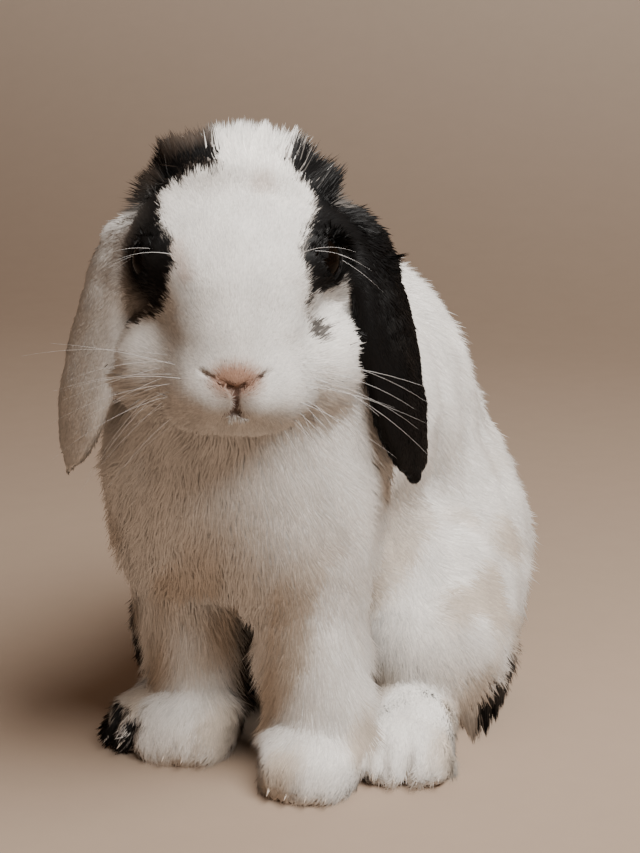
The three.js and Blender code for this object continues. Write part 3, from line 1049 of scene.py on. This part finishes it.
FLESH = ("head", "neck", "trunk", "tail") + tuple(
    f"{part}_{side}" for part in ("ear", "foreleg", "forepaw", "hindfoot", "thigh") for side in SIDES
)


SKIN_BOX = ((-84, -42, -3.5), (108, 232, 244))
NOSE_TIP = (0, -47, -8)
LID_COLOUR = np.array([0.006, 0.005, 0.005])
SKIN_SHADE = 0.92  # of the colour of the hair over it


class RABBIT_OT_skin(bpy.types.Operator):
    """Mesh the body in one skin, with folds, lips and lids"""

    bl_idname = "rabbit.skin"
    bl_label = "Skin"

    def execute(self, context):
        look = context.scene.rabbit_skin
        verts, tris = surface_net(skin_field, *SKIN_BOX, look.cell)
        for _ in range(2):
            verts = settle(skin_field, smoothed(verts, tris, 0.5), 1)
        for fineness in (1.0, 0.55):
            q = in_head(verts)
            fine = ((q - NOSE_TIP) ** 2 * (1, 1, 0.8)).sum(1) < (15 * fineness + 3) ** 2
            for s in (LEFT, RIGHT):
                fine |= rim_distance(q, s, 6) < 11 * fineness + 1.5
            verts, tris = refined(verts, tris, fine)
            verts = settle(skin_field, smoothed(verts, tris, 0.25), 2)
        tint = tints(verts, part_shares(verts), context.scene.rabbit_coat) * SKIN_SHADE
        q = in_head(verts)
        for s in (LEFT, RIGHT):
            tint = mixed(tint, LID_COLOUR, ramp(rim_distance(q, s), 9.5, 7.8)[:, None])
        piece = mesh_from("skin", verts, tris)
        paint(piece, tint)
        unwrap(piece)
        wear(piece, skin_material())
        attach(piece, "root")
        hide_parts(*FLESH)
        return {"FINISHED"}


def unwrap(piece):
    """An unwrap of the skin's own shape, on which the tufts find their places too."""
    bpy.context.view_layer.objects.active = piece
    piece.select_set(True)
    piece.data.uv_layers.new(name="OFBake")
    bpy.ops.object.mode_set(mode="EDIT")
    bpy.ops.mesh.select_all(action="SELECT")
    bpy.ops.uv.smart_project(angle_limit=math.radians(66), island_margin=0.002)
    bpy.ops.object.mode_set(mode="OBJECT")
    piece.select_set(False)


def skin_arrays(piece):
    mesh = piece.data
    n, m = len(mesh.vertices), len(mesh.polygons)
    verts, normals = np.empty(n * 3), np.empty(n * 3)
    tris, uv = np.empty(m * 3, int), np.empty(m * 6)
    mesh.vertices.foreach_get("co", verts)
    mesh.vertices.foreach_get("normal", normals)
    mesh.loops.foreach_get("vertex_index", tris)
    mesh.uv_layers["OFBake"].data.foreach_get("uv", uv)
    return to_body(verts.reshape(-1, 3)), normals.reshape(-1, 3), tris.reshape(-1, 3), uv.reshape(-1, 3, 2)


TUFT_FACES = np.array([[0, 2, 1], [0, 3, 2], [0, 1, 3], [1, 2, 4], [2, 3, 4], [3, 1, 4]])
BLADE_FACES = np.array([[0, 2, 1], [1, 2, 3], [0, 1, 3], [0, 3, 2]])
BLADE_POINTS = [0, 1, 3, 4]
PATCH_SIZE = 0.003
TUFT_PATCH = np.array([[0, -0.5], [-0.5, 0], [0, 0.1], [0.5, 0], [0, 0.5]]) * PATCH_SIZE
WIDEST = 0.4  # how far along a tuft it is widest
BARE_SOLE = 2.2
BARE_EYE = 7.4
LOWEST_HAIR = 0.4
CROWN_FROM, CHEST_TO, BACK_FROM, TRUNK_MIDDLE = 8, 62, 105, 5


def locks_in(place, locks):
    """The locks with their ends set in the body."""
    return [(*(place(np.array([end], float))[0] for end in ends), reach) for *ends, reach in locks]


# where the hair runs together: the middle of its roots, where its tips meet, how far round it gathers;
# first the locks of the head, then those of the body
LOCKS = locks_in(
    lambda q: HEAD_CENTRE + q @ HEAD_TILT.T,
    (
        ((-20.6, 25.5, 30.6), (-26.6, 24, 47), 7), ((-21.1, 25.9, 23.2), (-29.3, 24, 38.4), 6),
        ((-22.1, 26.1, 19.9), (-32.5, 24, 34.4), 6), ((-23.1, 26.6, 16.3), (-37.5, 24, 29.9), 7),
        ((-25.9, 26, 14.5), (-42, 20, 17.5), 6), ((-13.2, 25.1, 36), (-15.9, 24, 49.4), 5),
        ((-17.5, 25.3, 34), (-21.8, 24, 49.4), 5), ((-6.4, 25.2, 37.5), (-7.8, 24, 52.9), 6),
        ((1.2, 25.2, 37.9), (1.5, 24, 53.7), 7), ((8.3, 25.2, 37.2), (10.1, 24, 53.3), 7),
        ((16.1, 25.3, 34.8), (20.1, 24, 50.9), 6), ((19.7, 23.4, 32.2), (24, 20, 50.8), 4),
        ((22.9, 25.5, 19.5), (37.1, 20, 39.7), 9), ((25.5, 22, 23), (37.6, 19, 40), 7),
        ((23, 21, 27), (33, 19, 39.5), 6), ((-30, 5, 8), (-40, 6, 1), 9),
        ((-31, 6, -2), (-40, 5, -11), 8), ((31, 5, 9), (42, 5, 4), 9),
        ((32, 8, 18), (43, 9, 13), 8), ((24.2, 25, 17.8), (35.6, 20, 27.1), 7),
        ((27.5, 25.5, 15), (43.3, 22.3, 17.5), 6), ((46.1, 17.4, 9.9), (51.5, 19.6, 13), 5),
        ((50.6, 13.7, 4), (60, 15.6, 6.4), 5), ((53, 11.6, -0.3), (57.8, 13.3, 1.8), 4),
    ),
) + locks_in(
    lambda p: p,
    (
        ((76, 67, 12), (80, 53, 1), 8), ((80, 75, 11), (83, 62, 1), 8),
        ((83, 84, 12), (84, 76, 1), 8), ((85, 94, 11), (84, 92, 1), 9),
        ((20, -4, 6), (14.5, -2, 1.2), 5), ((-20, 58, 24), (-18, 50, 1), 14),
        # the last four pull black belly hair down to the floor, partly standing for the deep shade between
        # the legs
        ((-9, 54, 26), (-9, 44, 1), 14), ((4, 54, 26), (3, 44, 1), 14),
        ((16, 58, 24), (16, 48, 1), 14),
    ),
)


def piece_name(p, part):
    """Which piece of the coat each tuft belongs to, from its root and the number of its main part."""
    names = np.array(list(FORMS))[part].astype(object)
    q = in_head(p)
    head, trunk = names == "head", names == "trunk"
    on_crown, chest, high = q[:, 1] > CROWN_FROM, p[:, 1] < CHEST_TO, p[:, 2] > BACK_FROM
    names[head & on_crown] = "crown"
    for side, left in (("_left", True), ("_right", False)):
        names[head & ~on_crown & ((q[:, 0] > 0) == left)] = "face" + side
        mine = trunk & ((p[:, 0] > TRUNK_MIDDLE) == left)
        names[mine & chest] = "chest" + side
        names[mine & ~chest & high] = "back" + side
        names[mine & ~chest & ~high] = "flank" + side
    return "coat_" + names


class RABBIT_OT_coat(bpy.types.Operator):
    """Grow the coat: closed tufts rooted in the skin, lying along the body"""

    bl_idname = "rabbit.coat"
    bl_label = "Coat"

    def execute(self, context):
        look = context.scene.rabbit_coat
        random = np.random.default_rng(look.seed)
        verts, normals, tris, uv = skin_arrays(bpy.data.objects["skin"])
        shares = part_shares(verts)
        density = habit(verts, shares)[4] * look.density
        corner = verts[tris]
        first, second = corner[:, 1] - corner[:, 0], corner[:, 2] - corner[:, 0]
        area = np.linalg.norm(np.cross(first, second), axis=1) / 2
        run = np.cumsum(area * density[tris].mean(1))
        count = int(run[-1])
        at = np.searchsorted(run, (np.arange(count) + random.random(count)) * run[-1] / count)
        at = np.minimum(at, len(tris) - 1)
        a, b = random.random(count), random.random(count)
        over = a + b > 1
        a[over], b[over] = 1 - a[over], 1 - b[over]
        weight = np.stack([1 - a - b, a, b], 1)[:, :, None]
        root = (corner[at] * weight).sum(1)
        normal = unit((normals[tris[at]] * weight).sum(1))
        home = (uv[at] * weight).sum(1)
        keep = self.haired(root)
        root, normal, home = root[keep], normal[keep], home[keep]
        shares = part_shares(root)
        tuft, shade = self.shapes(root, normal, shares, look, random)
        spread = (0.6 + 0.7 * crown_share(in_head(root)))[:, None]
        colour = self.colours(tuft[:, 2] + spread * random.normal(size=root.shape), shares, look, random)
        names = piece_name(root, shares.argmax(1))
        material = fur_material("coat_hair")
        for name in sorted(set(names)):
            mine = names == name
            self.make(name, tuft[mine], shade[mine], colour[mine], home[mine], material)
        return {"FINISHED"}

    def haired(self, root):
        """False on the soles, the eyes, the nose's folds and the lips."""
        keep = root[:, 2] > BARE_SOLE
        q = in_head(root)
        for s in (LEFT, RIGHT):
            keep &= rim_distance(q, s) > BARE_EYE
        keep &= (NOSE_V(q) > -0.1) & (MOUTH(q) > -0.1)
        return keep

    def shapes(self, root, normal, shares, look, random):
        """Five points for each tuft (root, three round its widest place, tip), and a normal for each."""
        count = len(root)
        length, width, low, high, _ = habit(root, shares)
        length = length * look.length * random.uniform(0.75, 1.2, count)
        length = length * (1 + 0.12 * waves(root, 9, 21)[:, 0])
        width = width * random.uniform(0.7, 1.3, count)
        way = lie(root, shares) + 0.16 * waves(root, 16, 22, 3) + 0.12 * random.normal(size=(count, 3))
        way = unit(way - (way * normal).sum(1, keepdims=True) * normal)
        lift = 7 * waves(root, 11, 23)[:, 0]
        low = np.clip(np.radians(low + lift + 5 * random.normal(size=count)), 0.05, 1.3)[:, None]
        high = np.clip(np.radians(high + lift + 5 * random.normal(size=count)), 0, 1.3)[:, None]
        side = np.cross(normal, way)
        up = np.cos(low) * way + np.sin(low) * normal
        bent = unit(way + 0.1 * random.normal(size=(count, 3)))
        out = np.cos(high) * bent + np.sin(high) * normal
        for start, end, reach in LOCKS:
            pull = ramp(np.linalg.norm(root - start, axis=1), reach, 0.3 * reach)
            goal = end - root
            span = np.linalg.norm(goal, axis=1)
            length = length * (1 - pull) + pull * span * random.uniform(0.7, 1.0, count)
            pull, goal = pull[:, None], unit(goal)
            up, out = unit(up * (1 - 0.8 * pull) + goal * pull), unit(mixed(out, goal, pull))
        length, width = length[:, None], width[:, None]
        base = root - 0.6 * normal
        middle = root + WIDEST * length * up
        tip = middle + (1 - WIDEST) * length * out
        side = unit(side - (side * up).sum(1, keepdims=True) * up)
        rise = np.cross(up, side)
        ring = [middle + side * width / 2, middle + rise * width * 0.16, middle - side * width / 2]
        points = np.stack([base, *ring, tip], 1)
        points[:, :, 2] = np.maximum(points[:, :, 2], LOWEST_HAIR)
        one, other = unit(normal + 0.25 * side), unit(normal - 0.25 * side)
        shade = np.stack([normal, one, normal, other, unit(normal + 0.3 * out)], 1)
        return points, shade

    def colours(self, root, shares, look, random):
        """Colours of the five points: painted shade darker at the root, no two tufts quite alike; root is
        the middle.
        """
        colour = tints(root, shares, look)
        colour = colour * random.uniform(0.84, 1.04, (len(root), 1)) * (1 + 0.04 * waves(root, 14, 31))
        # painted shade: darker at the root, lighter towards the tip
        five = colour[:, None, :] * np.array([0.8, 0.96, 1.0, 0.96, 1.03])[:, None]
        q = in_head(root)
        crown = (crown_share(q) * ramp(colour.mean(1), 0.2, 0.02) * ramp(q[:, 0], 5, -5))[:, None]
        five[:, 4] = mixed(five[:, 4], np.array(look.fringe_and_lip_shade) * 0.5, crown)
        freckles = (NOSE_TOP(q) < 0) & (random.random(len(root)) < 0.05)
        five[freckles] *= 0.45
        return np.clip(five, 0, 1)

    def make(self, name, tuft, shade, colour, home, material):
        flat, faces = TUFT_PATCH, TUFT_FACES
        if name.startswith(("coat_face", "coat_ear")):
            tuft, shade, colour = (values[:, BLADE_POINTS] for values in (tuft, shade, colour))
            flat, faces = TUFT_PATCH[BLADE_POINTS], BLADE_FACES
        count, points = tuft.shape[:2]
        tris = (np.arange(count)[:, None, None] * points + faces).reshape(-1, 3)
        piece = mesh_from(name, tuft.reshape(-1, 3), tris)
        patch = (home[:, None, :] + flat)[:, faces.ravel()]
        layer = piece.data.uv_layers.new(name="OFBake")
        layer.data.foreach_set("uv", patch.ravel())
        paint(piece, colour.reshape(-1, 3))
        piece.data.normals_split_custom_set_from_vertices(shade.reshape(-1, 3).tolist())
        wear(piece, material)
        piece.visible_shadow = False  # the skin casts the shadows: light passes between fine hairs
        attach(piece, "root")
        "dark_fur" if colour.mean() < 0.2 else "pale_fur"


class RABBIT_OT_eyes(bpy.types.Operator):
    """Set a dark, wet eye with a domed front in each socket"""

    bl_idname = "rabbit.eyes"
    bl_label = "Eyes"

    def execute(self, context):
        material = eye_material()
        ball = bmesh.new()
        bmesh.ops.create_icosphere(ball, subdivisions=5, radius=1)
        points = np.array([v.co for v in ball.verts])
        tris = np.array([[v.index for v in f.verts] for f in ball.faces])
        ball.free()
        for name, side in SIDES.items():
            dome = 1 + 0.05 * ramp(points @ EYE_AXIS[side], 0.72, 0.9)
            place = eye_centre(side) + EYE_RADIUS * points * dome[:, None]
            piece = mesh_from("ball_" + name, HEAD_CENTRE + place @ HEAD_TILT.T, tris)
            wear(piece, material)
            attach(piece, "root")
            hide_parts("eye_" + name)
        return {"FINISHED"}


HAIR_SIDES = 5
WHISKER_ROWS, WHISKERS_IN_ROW, BROW_HAIRS = 4, 5, 4


def whisker_tree(material):
    """Geometry Nodes that turn drawn lines into tapering hairs; the lines carry their own thickness."""
    tree = bpy.data.node_groups.new("tapering_hairs", "GeometryNodeTree")
    tree.interface.new_socket("Geometry", in_out="INPUT", socket_type="NodeSocketGeometry")
    sides = tree.interface.new_socket("Sides", in_out="INPUT", socket_type="NodeSocketInt")
    sides.default_value, sides.min_value = HAIR_SIDES, 3
    tree.interface.new_socket("Geometry", in_out="OUTPUT", socket_type="NodeSocketGeometry")

    def node(kind, links, settings=None):
        made = tree.nodes.new(kind)
        for name, value in (settings or {}).items():
            setattr(made, name, value)
        for name, value in links.items():
            if isinstance(value, bpy.types.NodeSocket):
                tree.links.new(value, made.inputs[name])
            else:
                made.inputs[name].default_value = value
        return made

    given = node("NodeGroupInput", {})
    lines = node("GeometryNodeMeshToCurve", {"Mesh": given.outputs["Geometry"]})
    thickness = node("GeometryNodeInputNamedAttribute", {"Name": "thickness"}, {"data_type": "FLOAT"})
    tapered = node(
        "GeometryNodeSetCurveRadius",
        {"Curve": lines.outputs["Curve"], "Radius": thickness.outputs["Attribute"]},
    )
    ring = node("GeometryNodeCurvePrimitiveCircle", {"Resolution": given.outputs["Sides"], "Radius": 1.0})
    tubes = node(
        "GeometryNodeCurveToMesh",
        {"Curve": tapered.outputs["Curve"], "Profile Curve": ring.outputs["Curve"], "Fill Caps": True},
    )
    if "Scale" in tubes.inputs:
        tree.links.new(thickness.outputs["Attribute"], tubes.inputs["Scale"])
    real = node("GeometryNodeRealizeInstances", {"Geometry": tubes.outputs["Mesh"]})
    finished = node("GeometryNodeSetMaterial", {"Geometry": real.outputs["Geometry"], "Material": material})
    node("NodeGroupOutput", {"Geometry": finished.outputs["Geometry"]})
    return tree, sides.identifier


def hairs_along(name, paths, radii, material):
    """One mesh of tapering hairs; paths are arrays of points in body millimetres, radii in millimetres."""
    mesh = bpy.data.meshes.new(name)
    steps = len(paths[0])
    edges = [(i * steps + j, i * steps + j + 1) for i in range(len(paths)) for j in range(steps - 1)]
    mesh.from_pydata(to_frame(np.concatenate(paths)).tolist(), edges, [])
    thickness = mesh.attributes.new("thickness", "FLOAT", "POINT")
    taper = np.linspace(1, 0.12, steps)
    thickness.data.foreach_set("value", (np.array(radii)[:, None] * taper / 1000).ravel())
    lines = bpy.data.objects.new(name + "_lines", mesh)
    bpy.context.scene.collection.objects.link(lines)
    tree, socket = whisker_tree(material)
    modifier = lines.modifiers.new("hairs", "NODES")
    modifier.node_group = tree
    modifier[socket] = HAIR_SIDES
    evaluated = lines.evaluated_get(bpy.context.evaluated_depsgraph_get())
    plain = bpy.data.meshes.new_from_object(evaluated)
    plain.name = name
    piece = bpy.data.objects.new(name, plain)
    bpy.data.objects.remove(lines)
    bpy.context.scene.collection.objects.link(piece)
    plain.shade_smooth()
    return piece


def hair_path(root, way, length, droop, steps=11):
    """A hair from a root in the head; way and droop are in the head as it is turned, but not tilted."""
    t = np.linspace(0, 1, steps)[:, None]
    bow = length * (t * unit(np.array(way, float)) + t**2 * np.array(droop))
    return HEAD_CENTRE + root @ HEAD_TILT.T + bow @ GAZE.T


class RABBIT_OT_whiskers(bpy.types.Operator):
    """Draw the whiskers of the muzzle and the long brow hairs"""

    bl_idname = "rabbit.whiskers"
    bl_label = "Whiskers"

    def execute(self, context):
        random = np.random.default_rng(8)
        paths, radii = [], []
        for side, highest, fall, size in ((LEFT, 0, 19, 1.0), (RIGHT, 10, 15, 0.91)):
            for row in range(WHISKER_ROWS):
                for place in range(WHISKERS_IN_ROW):
                    root = np.array([side * (9 + 2.6 * place), -42 + 3.4 * place, -6 - 2.8 * row])
                    slope = math.radians(highest - fall * row - 2 * place + random.normal(0, 5))
                    way = (side * math.cos(slope), random.uniform(0.1, 0.5), math.sin(slope))
                    length = random.uniform(44, 70) * (1 - 0.05 * row) * size
                    droop = (-side * 0.04, 0.1, random.uniform(-0.42, -0.1))
                    paths.append(hair_path(root, way, length, droop))
                    radii.append(random.uniform(0.09, 0.13))
            for place in range(BROW_HAIRS):
                root = np.array([side * (21 + 1.4 * place), -12 + 4 * place, 24 - 2.2 * place])
                way = (side, -0.25 + 0.15 * place, 0.42 - 0.2 * place + random.normal(0, 0.08))
                paths.append(hair_path(root, way, random.uniform(17, 26), (0, 0.15, -0.4)))
                radii.append(0.09)
        piece = hairs_along("whiskers", paths, radii, hair_material())
        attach(piece, "root")
        return {"FINISHED"}


class RABBIT_OT_claws(bpy.types.Operator):
    """Give the claws their horn"""

    bl_idname = "rabbit.claws"
    bl_label = "Claws"

    def execute(self, context):
        material = claw_material((0.45, 0.37, 0.30, 1), (0.70, 0.62, 0.53, 1))
        for node in bpy.data.objects:
            if node.name.startswith("claw_"):
                wear(node, material)
        return {"FINISHED"}


# the light of the room and its strength; where the lights point, in metres
ROOM_LIGHT = ((1.0, 0.66, 0.46, 1), 0.13)
LIT = (0, 0, 0.12)
# how far round and how high the camera stands in degrees, how far off, and the middle of its view
CAMERA_TURN, CAMERA_RISE, CAMERA_DISTANCE = 16, 15, 750
CAMERA_AIM = (25.5, 38.5, 123.3)


class RABBIT_OT_stage(bpy.types.Operator):
    """Lay the floor, hang the lights and place the camera"""

    bl_idname = "rabbit.stage"
    bl_label = "Stage"

    def execute(self, context):
        look = context.scene.rabbit_stage
        self.floor(look)
        self.light("key", (430, -210, 900), 680, look.key, (1.0, 0.97, 0.93))
        self.light("fill", (-300, -900, 500), 600, look.fill, (1.0, 0.72, 0.52))
        world = bpy.data.worlds.new("studio")
        world.use_nodes = True
        background = world.node_tree.nodes["Background"].inputs
        background[0].default_value, background[1].default_value = ROOM_LIGHT
        context.scene.world = world
        self.camera(look)
        return {"FINISHED"}

    def floor(self, look):
        """A sheet that lies flat under the rabbit and sweeps up behind it."""
        reach, back, sweep = 1600, 1500, 800
        bend = np.linspace(0, math.pi / 2, 17)[1:]
        profile = [(-reach, 0), (back - sweep, 0)]
        profile += [(back - sweep + sweep * math.sin(a), sweep - sweep * math.cos(a)) for a in bend]
        profile.append((back, reach))
        verts = np.array([(x, y, z) for y, z in profile for x in (-reach, 0, reach)])
        tris = []
        for a in range(len(verts) - 3):
            if a % 3 < 2:
                tris += [(a, a + 1, a + 4), (a, a + 4, a + 3)]
        floor = mesh_from("floor", verts, np.array(tris))
        height = np.minimum(verts[:, 2:] / reach * 6, 1)
        paint(floor, mixed(np.array(look.floor), np.array(look.wall), height))
        shader = Shader("paper", Specular_IOR_Level=0.2)
        grain = shader.noise(60, 4.0)
        shader.feed("Base Color", shader.mix(grain * 0.06, shader.tint(), grey(0)))
        shader.feed("Roughness", grain * 0.1 + 0.7)
        wear(floor, shader.material)
        floor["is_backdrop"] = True

    def light(self, name, place, size, power, colour):
        lamp = bpy.data.lights.new(name, "AREA")
        lamp.shape, lamp.size, lamp.energy, lamp.color = "DISK", size / 1000, power, colour
        hung = bpy.data.objects.new(name, lamp)
        hung.location = Vector(place) / 1000
        hung.rotation_euler = (Vector(LIT) - hung.location).to_track_quat("-Z", "Y").to_euler()
        bpy.context.scene.collection.objects.link(hung)

    def camera(self, look):
        turned, raised = math.radians(CAMERA_TURN), math.radians(CAMERA_RISE)
        right = np.array([math.cos(turned), math.sin(turned), 0])
        level = math.cos(raised)
        ahead = np.array([-math.sin(turned) * level, math.cos(turned) * level, -math.sin(raised)])
        axes = Matrix(np.stack([right, np.cross(right, ahead), -ahead], 1).tolist())
        camera = bpy.data.cameras.new("camera")
        camera.lens, camera.sensor_width = look.lens, 36
        seen = bpy.data.objects.new("camera", camera)
        place = to_frame(np.array(CAMERA_AIM) - CAMERA_DISTANCE * ahead)
        seen.matrix_world = Matrix.Translation(place) @ axes.to_4x4()
        bpy.context.scene.collection.objects.link(seen)
        bpy.context.scene.camera = seen


class RABBIT_PT_panel(bpy.types.Panel):
    """Everything that makes the rabbit, in order"""

    bl_label = "Lop rabbit"
    bl_space_type = "VIEW_3D"
    bl_region_type = "UI"
    bl_category = "Rabbit"

    def draw(self, context):
        for title, group, operators in STEPS:
            box = self.layout.box()
            box.label(text=title)
            settings = getattr(context.scene, group) if group else None
            for name in type(settings).__annotations__ if settings else ():
                box.prop(settings, name)
            for operator in operators:
                box.operator(operator.bl_idname)


STEPS = (
    ("Skin", "rabbit_skin", (RABBIT_OT_skin,)),
    ("Coat", "rabbit_coat", (RABBIT_OT_coat,)),
    ("Head and feet", None, (RABBIT_OT_eyes, RABBIT_OT_whiskers, RABBIT_OT_claws)),
    ("Stage", "rabbit_stage", (RABBIT_OT_stage,)),
)
GROUPS = {"rabbit_skin": SkinLook, "rabbit_coat": CoatLook, "rabbit_stage": StageLook}
OPERATORS = [operator for _, _, operators in STEPS for operator in operators]


def register():
    for name, group in GROUPS.items():
        bpy.utils.register_class(group)
        setattr(bpy.types.Scene, name, PointerProperty(type=group))
    for each in (*OPERATORS, RABBIT_PT_panel):
        bpy.utils.register_class(each)


def unregister():
    for each in (RABBIT_PT_panel, *reversed(OPERATORS)):
        bpy.utils.unregister_class(each)
    for name, group in GROUPS.items():
        delattr(bpy.types.Scene, name)
        bpy.utils.unregister_class(group)


def main():
    register()
    for operator in OPERATORS:
        group, name = operator.bl_idname.split(".")
        getattr(getattr(bpy.ops, group), name)()
    boxes = {"cad": CAD_BOX, "visual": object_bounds()}
    {name: [list(corner) for corner in box] for name, box in boxes.items()}


if __name__ == "__main__":
    main()
